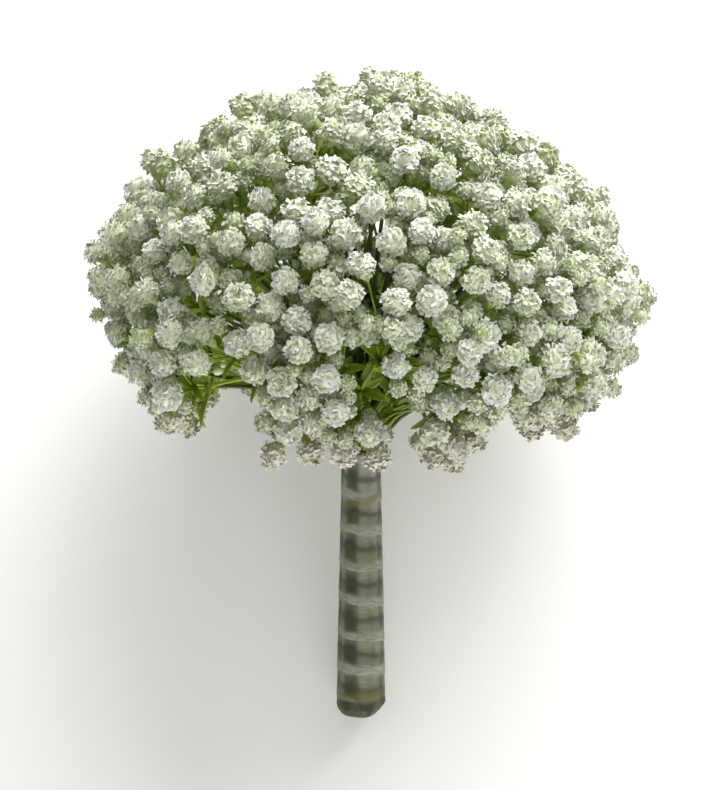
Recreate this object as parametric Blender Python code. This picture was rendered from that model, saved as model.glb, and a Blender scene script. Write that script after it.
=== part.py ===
"""A hand-tied bunch of gypsophila, lying on its side: nineteen branching sprays of small double white
blooms in a domed head, their stems bound by two bands in a handle wound with ribbon.

The bunch is laid out upright, with its axis on +Z and the handle's end at height 0, and is then laid
on the floor by one matrix. The front of the upright bunch, at -Y, is the side that lies uppermost."""

import itertools
import math
import random

import bmesh
import bpy
import numpy as np
from mathutils import Matrix, Vector

MM = 0.001

# The domed head: bloom centres lie on an oblate spheroid, cut off at the rim
HEAD_RADIUS = 110 * MM
HEAD_HALF_HEIGHT = 85.5 * MM
HEAD_CENTRE = (3.5 * MM, 0, 193 * MM)
RIM_HEIGHT = 137 * MM
FAN_HEIGHT = 150 * MM
BLOOM_COUNT = 430
BLOOM_RADIUS = 6.5 * MM
BLOOM_CLEARANCE = 0.6 * MM
UNEVENNESS = 5 * MM
CLUSTERS = 125
CLUSTER_PULL = 0.32
SITE_SEED = 47
CANDIDATES = 9000

# Swells and hollows of the head: (tilt from the axis, turn round it, height) of each
LOBES = (
    (57, 180, 11 * MM),
    (81, 0, 8 * MM),
    (45, 0, -4 * MM),
    (32, 5, -5 * MM),
    (16, 180, 3 * MM),
    (5, 0, 4 * MM),
    (84, 160, -3 * MM),
)
LOBE_WIDTH = 13

# Gaps in the head: (sideways, height, half width, half height) of an ellipse seen from the front
FRONT_GAPS = (
    (3 * MM, 186 * MM, 13 * MM, 33 * MM),
    (18 * MM, 147 * MM, 13 * MM, 34 * MM),
    (-57 * MM, 144 * MM, 20 * MM, 38 * MM),
    (64 * MM, 144 * MM, 10 * MM, 26 * MM),
    (-103 * MM, 142 * MM, 12 * MM, 18 * MM),
)

# The sprays: one in the middle, a ring of six and a ring of twelve
RING_COUNTS = (1, 6, 12)
RING_TILTS = (0, 40, 79)
HUB_REACH = 50 * MM
FORK_SHARES = (0.5, 0.4)

# Stem sizes are the radii of their three-cornered sections
STEM_RADIUS_END = 1.45 * MM
STEM_RADIUS_NECK = 1.15 * MM
LIMB_RADIUS = 1.15 * MM
TWIG_RADIUS = 1 * MM
PEDICEL_RADIUS = 0.85 * MM
FORK_SWELL = 1.35
STEM_BENDS = (0.34, 0.68)
NECK_HEIGHT = 125 * MM
CALYX_LENGTH = 3.6 * MM
PETAL_RISE = 0.07
PETAL_DENT = 0.2

# Leaves stand in pairs below each spray's first fork
LEAF_LENGTH = 11 * MM
LEAF_WIDTH = 4.4 * MM
LEAF_THICKNESS = 0.8 * MM
LEAF_TILT = 42
LEAF_SEAT = 3 * MM
LEAF_DROP = 11 * MM

# The handle: a ribbon wound in lapped turns over the stems and their two bands
WRAP_TOP = 121 * MM
WRAP_RADIUS_END = 11.2 * MM
WRAP_RADIUS_TOP = 8.7 * MM
WRAP_WALL = 0.8 * MM
WRAP_END_WALL = 1.4 * MM
WRAP_PITCH = 16 * MM
WRAP_LAP = 0.4 * MM
WRAP_EDGE = 0.4 * MM
WRAP_SIDES = 16
WRAP_CHAMFER = 1.6 * MM
BAND_HEIGHTS = (10 * MM, 100 * MM)
BAND_WIDTH = 3 * MM
BAND_THICKNESS = 0.6 * MM
BAND_SIDES = 16
SEAT_GAP = 0.3 * MM

# The lying bunch: its axis rises at LIE_TILT, and the floor presses its foot and lowest blooms flat
LIE_TILT = 30
FOOT_PRESS = 1.2 * MM
PRESSED_SHARE = 0.82
ORIGIN_SHIFT = Vector((-3.88 * MM, -130.87 * MM, 0))

PETAL_WHITE = (0.86, 0.87, 0.80, 1)
STEM_GREEN = (0.19, 0.27, 0.06, 1)
RIBBON_GREY = (0.33, 0.34, 0.28, 1)
BAND_OCHRE = (0.45, 0.36, 0.16, 1)
SMOOTH_ANGLE = 35


def clear_scene():
    for obj in list(bpy.data.objects):
        bpy.data.objects.remove(obj)


def make_material(name, colour, roughness):
    material = bpy.data.materials.new(name)
    material.use_nodes = True
    shader = material.node_tree.nodes["Principled BSDF"]
    shader.inputs["Base Color"].default_value = colour
    shader.inputs["Roughness"].default_value = roughness
    material.diffuse_color = colour
    return material


def wrap_radius(height):
    """The handle's radius over its laps, which is least at the neck, where the bunch is bound."""
    return WRAP_RADIUS_END + (WRAP_RADIUS_TOP - WRAP_RADIUS_END) * height / WRAP_TOP


def cavity_radius(height):
    return wrap_radius(height) - WRAP_LAP - WRAP_WALL


def lay_matrix():
    """Takes the upright bunch to where it lies, with the edge of the handle's end on the floor."""
    foot_rise = wrap_radius(0) * math.cos(math.radians(LIE_TILT)) - FOOT_PRESS
    turn = Matrix.Rotation(math.radians(LIE_TILT - 90), 4, "X")
    return Matrix.Translation(ORIGIN_SHIFT + Vector((0, 0, foot_rise))) @ turn


# Layout of the blooms


def polar(tilt, turn):
    """A unit vector leaning tilt degrees from +Z, at turn degrees round it from +X."""
    return Matrix.Rotation(math.radians(turn), 3, "Z") @ Matrix.Rotation(math.radians(tilt), 3, "Y").col[2]


def rays_to(points):
    """Unit vectors from the point that the sprays fan out from."""
    rays = points - np.array((0, 0, FAN_HEIGHT))
    return rays / np.linalg.norm(rays, axis=1)[:, None]


def in_a_gap(points):
    """Marks the places that fall in one of the gaps at the front of the head."""
    found = np.zeros(len(points), bool)
    for across, height, half_width, half_height in FRONT_GAPS:
        off = ((points[:, 0] - across) / half_width) ** 2 + ((points[:, 2] - height) / half_height) ** 2
        found |= (off < 1) & (points[:, 1] < 0)
    return found


def head_candidates(rng):
    """Places spread evenly at random over the upright head's surface."""
    sphere = rng.normal(size=(CANDIDATES * 3, 3))
    sphere /= np.linalg.norm(sphere, axis=1)[:, None]
    flat = HEAD_HALF_HEIGHT / HEAD_RADIUS
    stretch = np.sqrt(flat**2 * (sphere[:, 0] ** 2 + sphere[:, 1] ** 2) + sphere[:, 2] ** 2)
    sphere = sphere[rng.random(len(sphere)) < stretch]
    points = sphere * (HEAD_RADIUS, HEAD_RADIUS, HEAD_HALF_HEIGHT) + HEAD_CENTRE
    points = points[(points[:, 2] > RIM_HEIGHT) & ~in_a_gap(points)]
    return points[:CANDIDATES]


def farthest_points(points, count):
    """Picks places one by one, each as far as it can be from those picked before."""
    picked = [int(np.argmax(points[:, 2]))]
    nearest = np.linalg.norm(points - points[picked[0]], axis=1)
    while len(picked) < count:
        picked.append(int(np.argmax(nearest)))
        nearest = np.minimum(nearest, np.linalg.norm(points - points[picked[-1]], axis=1))
    return points[picked]


def press_on_floor(points, lay):
    """Lifts the blooms that would sink into the floor to where it presses them."""
    lay = np.array(lay)
    lying = points @ lay[:3, :3].T + lay[:3, 3]
    lying[:, 2] = np.maximum(lying[:, 2], PRESSED_SHARE * BLOOM_RADIUS)
    return (lying - lay[:3, 3]) @ lay[:3, :3]


def spread_apart(points, lay):
    """Moves blooms that would touch away from each other."""
    least = 2 * BLOOM_RADIUS + BLOOM_CLEARANCE
    for _ in range(80):
        points = press_on_floor(points, lay)
        apart = points[:, None] - points[None]
        distance = np.linalg.norm(apart, axis=2) + np.eye(len(points))
        short = np.clip(least - distance, 0, None) * (1 - np.eye(len(points)))
        if short.max() < 0.02 * MM:
            break
        points = points + (apart / distance[:, :, None] * short[:, :, None]).sum(axis=1) * 0.5
    return points


def gather(points):
    """Draws blooms towards the nearest of the first few, because they grow in clusters."""
    middles = points[:CLUSTERS]
    apart = np.linalg.norm(points[:, None] - middles[None], axis=2)
    return points + (middles[np.argmin(apart, axis=1)] - points) * CLUSTER_PULL


def bloom_sites(lay):
    """The bloom centres of the upright bunch."""
    rng = np.random.default_rng(SITE_SEED)
    points = gather(farthest_points(head_candidates(rng), BLOOM_COUNT))
    outward = rays_to(points)
    offset = rng.uniform(-UNEVENNESS, UNEVENNESS, len(points))
    for tilt, turn, height in LOBES:
        angle = np.degrees(np.arccos(np.clip(outward @ np.array(polar(tilt, turn)), -1, 1)))
        offset += height * np.exp(-((angle / LOBE_WIDTH) ** 2))
    return spread_apart(points + outward * offset[:, None], lay)


# Layout of the branching


def spray_places():
    """(direction from the fan's centre, ring, place in the ring) of each spray."""
    return [
        (polar(tilt, 360 * place / count), ring, place)
        for ring, (count, tilt) in enumerate(zip(RING_COUNTS, RING_TILTS))
        for place in range(count)
    ]


def share_out(points, directions):
    """Gives each bloom to the spray whose direction is nearest to its own."""
    owner = np.argmax(rays_to(points) @ np.array(directions).T, axis=1)
    return [[Vector(p) for p in points[owner == i]] for i in range(len(directions))]


def mean(points):
    return sum(points, Vector()) / len(points)


def bearing(vector, forward):
    """The angle of a vector round the forward direction."""
    across = forward.orthogonal().normalized()
    return math.atan2(vector.dot(forward.cross(across)), vector.dot(across))


def split_in_three(points, fork, forward):
    """Cuts blooms into at most three groups of neighbours, as seen along forward from the fork."""
    ordered = sorted(points, key=lambda p: bearing(p - fork, forward))
    count = len(ordered)
    if count <= 3:
        return [[p] for p in ordered]
    choices = []
    for start, extra in itertools.product(range(count), range(3)):
        turned = ordered[start:] + ordered[:start]
        sizes = [count // 3 + ((k + extra) % 3 < count % 3) for k in range(3)]
        cuts = (0, sizes[0], sizes[0] + sizes[1], count)
        choices.append([turned[a:b] for a, b in itertools.pairwise(cuts)])
    return min(choices, key=lambda groups: sum((p - mean(g)).length_squared for g in groups for p in g))


def branch(start, points, level):
    """What grows from start to the given blooms: a bloom, or a fork with its branches."""
    if len(points) == 1:
        return {"at": points[0], "branches": []}
    centre = mean(points)
    fork = start.lerp(centre, FORK_SHARES[min(level, 1)])
    groups = split_in_three(points, fork, (centre - start).normalized())
    return {"at": fork, "branches": [branch(fork, group, level + 1) for group in groups]}


def spray_tree(direction, points):
    """The first fork of a spray, with its branches."""
    hub = Vector((0, 0, FAN_HEIGHT)) + direction * HUB_REACH
    groups = split_in_three(points, hub, direction)
    return {"at": hub, "branches": [branch(hub, group, 0) for group in groups]}


def stem_radius(height):
    return STEM_RADIUS_END + (STEM_RADIUS_NECK - STEM_RADIUS_END) * height / NECK_HEIGHT


def stem_place(ring, place, height):
    """Where a stem is in the bundle, which is packed in hexagons inside the bands."""
    bundle_radius = cavity_radius(min(height, WRAP_TOP)) - BAND_THICKNESS - 2 * SEAT_GAP
    spacing = (bundle_radius - stem_radius(height)) / 2
    steps = math.sqrt(3) if ring == 2 and place % 2 else ring
    return polar(90, 360 * place / RING_COUNTS[ring]) * steps * spacing + Vector((0, 0, height))


def stem_curve(neck, hub):
    """Centres of the stem above the neck, where it leaves upright and bends out to its hub."""
    control = neck + Vector((0, 0, 0.45 * (hub - neck).length))
    bends = [neck.lerp(control, t).lerp(control.lerp(hub, t), t) for t in STEM_BENDS]
    along = (hub - bends[-1]).normalized()
    return [*bends, hub - along * (LEAF_DROP + LEAF_SEAT), hub - along * LEAF_DROP]


# Growing a spray's mesh from its layout


def set_ring(face, centre, forward, radius, turn=None):
    """Makes a three-cornered face equilateral about centre, turned about forward as little as it can be."""
    across = forward.orthogonal().normalized()
    up = forward.cross(across)
    corners = [loop.vert for loop in face.loops]
    middle = mean([v.co for v in corners])
    third = 2 * math.pi / 3
    turns = [bearing(v.co - middle, forward) - k * third for k, v in enumerate(corners)]
    least = math.atan2(sum(map(math.sin, turns)), sum(map(math.cos, turns)))
    start = least if turn is None else turn + third * round((least - turn) / third)
    for k, vert in enumerate(corners):
        angle = start + k * third
        vert.co = centre + radius * (math.cos(angle) * across + math.sin(angle) * up)


def extend(bm, face, centre, forward, radius, turn=None):
    """Extrudes a face to a new ring, and returns the new face."""
    new = bmesh.ops.extrude_discrete_faces(bm, faces=[face])["faces"][0]
    set_ring(new, centre, forward, radius, turn)
    return new


def fork_turn(fork, forward):
    """The turn of a fork's ring at which its sides face its branches."""
    third = 2 * math.pi / 3
    bearings = sorted(bearing(b["at"] - fork["at"], forward) for b in fork["branches"])
    turns = [angle - third * (k + 0.5) for k, angle in enumerate(bearings)]
    return math.atan2(sum(map(math.sin, turns)), sum(map(math.cos, turns)))


def grow_fork(bm, face, fork, forward, level, rng):
    """Grows a fork's branches from the three sides of a low point raised on its ring."""
    poked = bmesh.ops.poke(bm, faces=[face])
    poked["verts"][0].co += forward * LIMB_RADIUS
    for side in poked["faces"]:
        side.normal_update()

    def fit(sides):
        aims = [(b["at"] - fork["at"]).normalized() for b in fork["branches"]]
        return sum(side.normal.dot(aim) for side, aim in zip(sides, aims))

    sides = max(itertools.permutations(poked["faces"], len(fork["branches"])), key=fit)
    for side, grown in zip(sides, fork["branches"]):
        grow(bm, side, fork["at"], grown, level, rng)


def grow(bm, face, start, node, level, rng):
    """Grows one branch from a face: to a bloom, or to a fork and all that it carries."""
    forward = (node["at"] - start).normalized()
    if not node["branches"]:
        add_bloom(bm, face, node["at"], forward, rng)
        return
    radius = LIMB_RADIUS if level == 0 else TWIG_RADIUS
    if level == 0:
        face = extend(bm, face, start.lerp(node["at"], 0.5), forward, radius)
    face = extend(bm, face, node["at"], forward, radius * FORK_SWELL, fork_turn(node, forward))
    grow_fork(bm, face, node, forward, level + 1, rng)


def unit_ball():
    """(matrix, face radius, face depth) of an icosphere turned to sit on a face with a corner at +X."""
    bm = bmesh.new()
    bmesh.ops.create_icosphere(bm, subdivisions=1, radius=1)
    face = next(iter(bm.faces))
    turn = face.calc_center_median().rotation_difference(Vector((0, 0, -1))).to_matrix()
    corner = turn @ next(iter(face.verts)).co
    bm.free()
    spin = Matrix.Rotation(-math.atan2(corner.y, corner.x), 3, "Z")
    return (spin @ turn).to_4x4(), math.hypot(corner.x, corner.y), -corner.z


BALL_TURN, BALL_FACE_RADIUS, BALL_FACE_DEPTH = unit_ball()


def add_bloom(bm, face, centre, forward, rng):
    """Ends a pedicel in a calyx and a bloom, a ruffled ball that opens into the calyx."""
    seat = centre - forward * BLOOM_RADIUS * BALL_FACE_DEPTH
    face = extend(bm, face, seat - forward * CALYX_LENGTH, forward, PEDICEL_RADIUS)
    face = extend(bm, face, seat, forward, BLOOM_RADIUS * BALL_FACE_RADIUS)
    rim = [loop.vert for loop in face.loops]
    side = (rim[0].co - seat).normalized()
    basis = Matrix((side, forward.cross(side), forward)).transposed().to_4x4()
    place = Matrix.Translation(centre) @ basis @ BALL_TURN
    ball = bmesh.ops.create_icosphere(bm, subdivisions=1, radius=BLOOM_RADIUS, matrix=place)["verts"]
    for petals in {f for v in ball for f in v.link_faces}:
        petals.material_index = 1
    seated = {min(ball, key=lambda v: (v.co - corner.co).length): corner for corner in rim}
    for vert in ball:
        if vert not in seated:
            vert.co += (vert.co - centre) * rng.uniform(-PETAL_DENT, PETAL_RISE)
    base = next(f for f in next(iter(seated)).link_faces if set(f.verts) == set(seated))
    bmesh.ops.delete(bm, geom=[face, base], context="FACES_ONLY")
    bmesh.ops.weld_verts(bm, targetmap=seated)


def add_leaf(bm, face, forward):
    """Grows a lance-shaped leaf from a short side face of a stem."""
    middle = face.calc_center_median()
    outward = (face.normal - forward * face.normal.dot(forward)).normalized()
    tilt = math.radians(LEAF_TILT)
    along = forward * math.cos(tilt) + outward * math.sin(tilt)
    across = forward.cross(outward)
    upward = along.cross(across)
    signs = [
        (math.copysign(1, offset.dot(across)), math.copysign(1, offset.dot(upward)))
        for offset in (loop.vert.co - middle for loop in face.loops)
    ]
    for share, width in ((0.45, LEAF_WIDTH), (1, 0.2 * LEAF_WIDTH)):
        face = bmesh.ops.extrude_discrete_faces(bm, faces=[face])["faces"][0]
        centre = middle + along * LEAF_LENGTH * share
        for loop, (right, top) in zip(face.loops, signs):
            loop.vert.co = centre + across * right * width / 2 + upward * top * LEAF_THICKNESS / 2


def make_spray(index, direction, ring, place, points, lay, materials):
    """One spray: a stem from the handle's end to its first fork, two leaves, branches and blooms."""
    rng = random.Random(index)
    tree = spray_tree(direction, points)
    foot = stem_place(ring, place, WRAP_END_WALL + 2 * SEAT_GAP)
    neck = stem_place(ring, place, NECK_HEIGHT)
    up = (neck - foot).normalized()
    bm = bmesh.new()
    bmesh.ops.create_cone(
        bm,
        cap_ends=True,
        segments=3,
        radius1=STEM_RADIUS_END,
        radius2=STEM_RADIUS_NECK,
        depth=(neck - foot).length,
        matrix=Matrix.Translation((foot + neck) / 2) @ up.to_track_quat("Z", "Y").to_matrix().to_4x4(),
    )
    face = max(bm.faces, key=lambda f: f.calc_center_median().z)
    centres = stem_curve(neck, tree["at"])
    for before, centre in zip([neck, *centres], centres):
        face = extend(bm, face, centre, (centre - before).normalized(), STEM_RADIUS_NECK)
    forward = (tree["at"] - centres[-1]).normalized()
    seats = [f for f in {f for v in face.verts for f in v.link_faces} if f is not face]
    face = extend(bm, face, tree["at"], forward, LIMB_RADIUS * FORK_SWELL, fork_turn(tree, forward))
    grow_fork(bm, face, tree, forward, 0, rng)
    bm.normal_update()
    for seat in sorted(seats, key=lambda f: f.normal.z)[-2:]:
        add_leaf(bm, seat, forward)
    bm.normal_update()
    finish_piece(f"spray_{index + 1:02d}", bm, lay, materials)


# The handle


def make_band(name, height, lay, material):
    """A flat band round the bundle of stems."""
    outer = cavity_radius(height) - SEAT_GAP
    bm = bmesh.new()
    corners = [
        bm.verts.new((radius, 0, height + rise))
        for radius, rise in (
            (outer - BAND_THICKNESS, -BAND_WIDTH / 2),
            (outer, -BAND_WIDTH / 2),
            (outer, BAND_WIDTH / 2),
            (outer - BAND_THICKNESS, BAND_WIDTH / 2),
        )
    ]
    edges = [bm.edges.new((corners[k - 1], corners[k])) for k in range(4)]
    bmesh.ops.spin(bm, geom=[*corners, *edges], axis=(0, 0, 1), angle=2 * math.pi, steps=BAND_SIDES)
    bmesh.ops.remove_doubles(bm, verts=bm.verts, dist=0.01 * MM)
    finish_piece(name, bm, lay, [material], smooth=True)


def make_wrap(lay, material):
    """The ribbon: lapped turns up the handle, drawn in under the stems' cut ends, and hollow."""
    bm = bmesh.new()
    turns = math.ceil(WRAP_TOP / WRAP_PITCH) + 2
    under = WRAP_RADIUS_END - WRAP_LAP
    profile = ((under, -WRAP_PITCH), (WRAP_RADIUS_END, WRAP_EDGE - WRAP_PITCH), (under, 0))
    lap = [bm.verts.new((radius, 0, height)) for radius, height in profile]
    edges = [bm.edges.new(pair) for pair in itertools.pairwise(lap)]
    bmesh.ops.spin(
        bm,
        geom=[*lap, *edges],
        axis=(0, 0, 1),
        angle=-2 * math.pi * turns,
        steps=WRAP_SIDES * turns,
        dvec=(0, 0, WRAP_PITCH / WRAP_SIDES),
    )
    bmesh.ops.remove_doubles(bm, verts=bm.verts, dist=0.01 * MM)
    for height, keep_above in ((WRAP_CHAMFER, True), (WRAP_TOP, False)):
        bmesh.ops.bisect_plane(
            bm,
            geom=[*bm.verts, *bm.edges, *bm.faces],
            plane_co=(0, 0, height),
            plane_no=(0, 0, 1),
            clear_inner=keep_above,
            clear_outer=not keep_above,
        )
    ends = [e for e in bm.edges if e.is_boundary]
    caps = bmesh.ops.edgeloop_fill(bm, edges=ends)["faces"]
    for vert in bm.verts:
        vert.co.xy *= wrap_radius(vert.co.z) / WRAP_RADIUS_END
    low = min(caps, key=lambda f: f.calc_center_median().z)
    low = bmesh.ops.extrude_discrete_faces(bm, faces=[low])["faces"][0]
    for vert in low.verts:
        vert.co.xy *= 1 - WRAP_CHAMFER / vert.co.xy.length
        vert.co.z = 0
    wrap = finish_piece("handle_wrap", bm, lay, [material], smooth=True)
    cavity = bmesh.new()
    depth = WRAP_TOP + SEAT_GAP - WRAP_END_WALL
    slack = 1 / math.cos(math.pi / WRAP_SIDES)
    bmesh.ops.create_cone(
        cavity,
        cap_ends=True,
        segments=WRAP_SIDES,
        radius1=cavity_radius(WRAP_END_WALL) * slack,
        radius2=cavity_radius(WRAP_TOP + SEAT_GAP) * slack,
        depth=depth,
        matrix=Matrix.Translation((0, 0, WRAP_END_WALL + depth / 2)),
    )
    cutter = finish_piece("handle_cavity", cavity, lay, [])
    cutter.hide_render = True
    cutter.display_type = "WIRE"
    cut = wrap.modifiers.new("Hollow", "BOOLEAN")
    cut.operation = "DIFFERENCE"
    cut.solver = "EXACT"
    cut.object = cutter


def finish_piece(name, bm, lay, materials, smooth=False):
    """Lays a piece on the floor, which flattens what would sink into it, and makes it an object."""
    bmesh.ops.recalc_face_normals(bm, faces=bm.faces)
    bmesh.ops.triangulate(bm, faces=bm.faces, quad_method="SHORT_EDGE")
    bm.transform(lay)
    for vert in bm.verts:
        vert.co.z = max(vert.co.z, 0)
    mesh = bpy.data.meshes.new(name)
    bm.to_mesh(mesh)
    bm.free()
    for material in materials:
        mesh.materials.append(material)
    if smooth:
        mesh.shade_smooth()
        mesh.set_sharp_from_angle(angle=math.radians(SMOOTH_ANGLE))
    obj = bpy.data.objects.new(name, mesh)
    bpy.context.scene.collection.objects.link(obj)
    return obj


def main():
    clear_scene()
    spray_materials = [make_material("stem", STEM_GREEN, 0.5), make_material("petal", PETAL_WHITE, 0.8)]
    lay = lay_matrix()
    places = spray_places()
    shares = share_out(bloom_sites(lay), [direction for direction, _, _ in places])
    for index, ((direction, ring, place), points) in enumerate(zip(places, shares)):
        make_spray(index, direction, ring, place, points, lay, spray_materials)
    band = make_material("band", BAND_OCHRE, 0.7)
    for name, height in zip(("band_lower", "band_upper"), BAND_HEIGHTS):
        make_band(name, height, lay, band)
    make_wrap(lay, make_material("ribbon", RIBBON_GREY, 0.6))


main()
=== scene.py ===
"""A hand-tied bunch of gypsophila lying on its side: nineteen branching sprays of small double white
blooms in a domed head, and a handle wound with sheer grey ribbon.

The bunch is laid out upright, with its axis on +Z, the handle's end at height 0 and its front at -Y,
and is then laid on the floor by one matrix, so that its front lies uppermost."""

import itertools
import math
import random

import bmesh
import bpy
import numpy as np
from mathutils import Matrix, Vector, noise


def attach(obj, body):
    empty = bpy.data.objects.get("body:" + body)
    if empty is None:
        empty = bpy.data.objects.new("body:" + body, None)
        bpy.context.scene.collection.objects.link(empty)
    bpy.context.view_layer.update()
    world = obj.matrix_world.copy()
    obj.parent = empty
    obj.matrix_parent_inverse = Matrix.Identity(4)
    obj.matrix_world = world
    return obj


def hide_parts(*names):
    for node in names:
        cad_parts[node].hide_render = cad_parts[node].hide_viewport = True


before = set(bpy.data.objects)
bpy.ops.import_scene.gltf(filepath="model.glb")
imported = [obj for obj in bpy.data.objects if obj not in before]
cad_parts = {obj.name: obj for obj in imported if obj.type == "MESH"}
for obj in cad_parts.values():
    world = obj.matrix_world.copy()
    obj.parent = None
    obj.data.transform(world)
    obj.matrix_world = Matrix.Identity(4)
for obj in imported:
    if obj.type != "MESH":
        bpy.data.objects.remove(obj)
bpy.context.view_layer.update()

MM = 0.001

# The domed head: bloom centres lie on an oblate spheroid, cut off at the rim
HEAD_RADIUS = 110 * MM
HEAD_HALF_HEIGHT = 85.5 * MM
HEAD_CENTRE = (3.5 * MM, 0, 193 * MM)
RIM_HEIGHT = 137 * MM
FAN_HEIGHT = 150 * MM
BLOOM_COUNT = 430
BLOOM_RADIUS = 6.5 * MM
BLOOM_CLEARANCE = 0.6 * MM
UNEVENNESS = 5 * MM
CLUSTERS = 125
CLUSTER_PULL = 0.32
SITE_SEED = 47
CANDIDATES = 9000
SPREAD_ROUNDS = 80
SPREAD_ENOUGH = 0.02 * MM

# Swells and hollows of the head: (tilt from the axis, turn round it, height) of each
LOBES = (
    (57, 180, 11 * MM),
    (81, 0, 8 * MM),
    (45, 0, -4 * MM),
    (32, 5, -5 * MM),
    (16, 180, 3 * MM),
    (5, 0, 4 * MM),
    (84, 160, -3 * MM),
)
LOBE_WIDTH = 13

# Gaps in the head: (sideways, height, half width, half height) of an ellipse seen from the front
FRONT_GAPS = (
    (3 * MM, 186 * MM, 13 * MM, 33 * MM),
    (18 * MM, 147 * MM, 13 * MM, 34 * MM),
    (-57 * MM, 144 * MM, 20 * MM, 38 * MM),
    (64 * MM, 144 * MM, 10 * MM, 26 * MM),
    (-103 * MM, 142 * MM, 12 * MM, 18 * MM),
)

# The sprays: one in the middle, a ring of six and a ring of twelve
RING_COUNTS = (1, 6, 12)
RING_TILTS = (0, 40, 79)
HUB_REACH = 50 * MM
FORK_SHARES = (0.5, 0.4)

# The stems. A knuckle is a fork's swelling, as a share of the radius there
STEM_RADIUS_END = 1.3 * MM
STEM_RADIUS_NECK = 1.05 * MM
LIMB_RADIUS = 0.95 * MM
TWIG_RADIUS = 0.75 * MM
PEDICEL_RADIUS = 0.5 * MM
SIDE_PEDICEL_SHARE = 0.8
BUD_STALK_RADIUS = 0.3 * MM
KNUCKLE = 1.45
FIRST_KNUCKLE = 1.1
STEM_SIDES = 8
STALK_SIDES = 6
BUD_STALK_SIDES = 5
NECK_HEIGHT = 125 * MM
NECK_BEND = 0.45
NECK_STEPS = 6
FOOT_HEIGHT = 2 * MM
BUNDLE_CLEARANCE = 2.4 * MM
BUNDLE_STEM_RADIUS = 1.45 * MM

# Branches: how much of their fork's way they keep, how far they stray, and their radii along them
WAY_KEPT = 0.35
STRAY = 0.5 * MM
BRANCH_TAPER = (1.15, 1, 0.92, 0.94, 1.15)
PEDICEL_TAPER = (1.15, 1, 0.9, 1)
PEDICEL_BEND = 0.2

# Calyxes, in bloom radii. Their rings are (distance below the seat, radius), from the stalk up
CALYX_SEAT = 0.72
CALYX_RADIUS = 0.4
CALYX_LENGTH = 0.62
CALYX_RINGS = (
    (CALYX_LENGTH, 0.12),
    (CALYX_LENGTH * 0.55, 0.3),
    (0.0, CALYX_RADIUS),
    (-0.2, CALYX_RADIUS * 1.12),
)
CALYX_TOOTH = 0.22
CALYX_FLARE = 0.05
CALYX_CLEARANCE = 0.08

# Small late blooms: tried places lie in a cone round the way of a fork's branches
SIDE_BLOOM_RADII = (4.0 * MM, 5.4 * MM)
SIDE_BLOOMS_AT_A_FORK = 4
SIDE_ROOM = 2.4 * MM
SIDE_TRIES = 60
SIDE_CONE = 0.75
SIDE_REACHES = (0.55, 1.12)
SIDE_SWELL = 1.25

# Buds
BUD_RADII = (1.1 * MM, 1.9 * MM)
BUDS_AT_A_FORK = 2
BUDS_FROM_LEVEL = 2
BUD_LEANS = (0.5, 1)
BUD_STALK_MM = (6, 11)
BUD_STALK_BOW = 1 * MM

# Leaves, in shares of their length
LEAF_WIDTH = 0.36
LEAF_THICKNESS = 0.02
LEAF_TAPER = 0.35
LEAF_FOLD = 0.42
LEAF_BACKBEND = 0.16
LEAF_FACETS = (8, 8)
BRACT_FACETS = (6, 4)

# The pair of leaves below each spray's first fork
LEAF_LENGTH = 13 * MM
LEAF_TILT = 42
LEAF_TURN = 62
LEAF_DROP = 12.5 * MM
UPRIGHT = 0.95

# (shape, length, count) of the leaves at a fork, from a spray's first fork outwards
LEAVES_BY_LEVEL = (
    ("leaf", 15 * MM, 4),
    ("leaf", 15 * MM, 4),
    ("leaf", 11 * MM, 4),
    ("bract", 6 * MM, 2),
)
FORK_LEAF_LENGTHS = (0.8, 1.25)
FORK_LEAF_RISE = 0.75
FORK_LEAF_SEAT = 0.6

# Thinner stems beside the main ones, each with a pair of leaves, which fill the neck of the bunch
COMPANIONS_AT_A_LIMB = 2
COMPANION_RADIUS = 0.8 * MM
# How much shade is painted on each companion stem: one of these, picked at random
COMPANION_SHADES = (0, 0.55, 1)
COMPANION_FOOT = 108 * MM
COMPANION_SPREAD = 0.8
COMPANION_ASIDE_MM = 1.2
COMPANION_BOW_MM = (1, 7)
COMPANION_RISE = (0.4, 0.6)
COMPANION_STEPS = 7
COMPANION_LEAF_STEP = 4
COMPANION_LEAF_LENGTH = 14 * MM
COMPANION_LEAF_LENGTHS = (0.8, 1.2)
COMPANION_LEAF_RISE = 0.8
# Painted shade on the companions' leaves
COMPANION_LEAF_SHADE = 0.5

# Shade is painted into the green inside the head: it begins at the first of these shares of the head's
# size inwards, and is darkest from the second. Ahead of SHADE_FRONT the painted shade is FRONT_SHADE of
# that, and behind SHADE_BACK it is full. Below its centre the head counts as LOW_STRETCH times as high
SHADE_SHARES = (0.66, 0.36)
SHADE_FRONT = -22 * MM
SHADE_BACK = 6 * MM
FRONT_SHADE = 0.4
LOW_STRETCH = 1.6

# Where the floor would show through the head, a leaf closes the hollow: (index of the spray, point)
HOLLOWS = ((1, (38.4 * MM, 4.9 * MM, 222.8 * MM)),)
HOLLOW_LEAF_REACH = 2
HOLLOW_LEAF_FACE = (0, -1, 0.2)

# The handle
WRAP_TOP = 121 * MM
WRAP_RADIUS_END = 11.2 * MM
WRAP_RADIUS_TOP = 8.7 * MM
WRAP_PITCH = 16 * MM
WRAP_LAP = 0.4 * MM

# How the bunch lies
LIE_TILT = 30
FOOT_PRESS = 1.2 * MM
PRESSED_SHARE = 0.82
ORIGIN_SHIFT = Vector((-3.88 * MM, -130.87 * MM, 0))

# The view: on the front of the bunch, 13 degrees above a right angle to its axis
VIEW_RISE = 90 - LIE_TILT + 13
VIEW_CENTRE = Vector((-0.44 * MM, 0, 145.9 * MM))
VIEW_HEIGHT = 347.6 * MM
VIEW_DISTANCE = 2.4
VIEW_LIMIT = 50


# What all pieces share


def clamp(value):
    return min(max(value, 0), 1)


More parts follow.
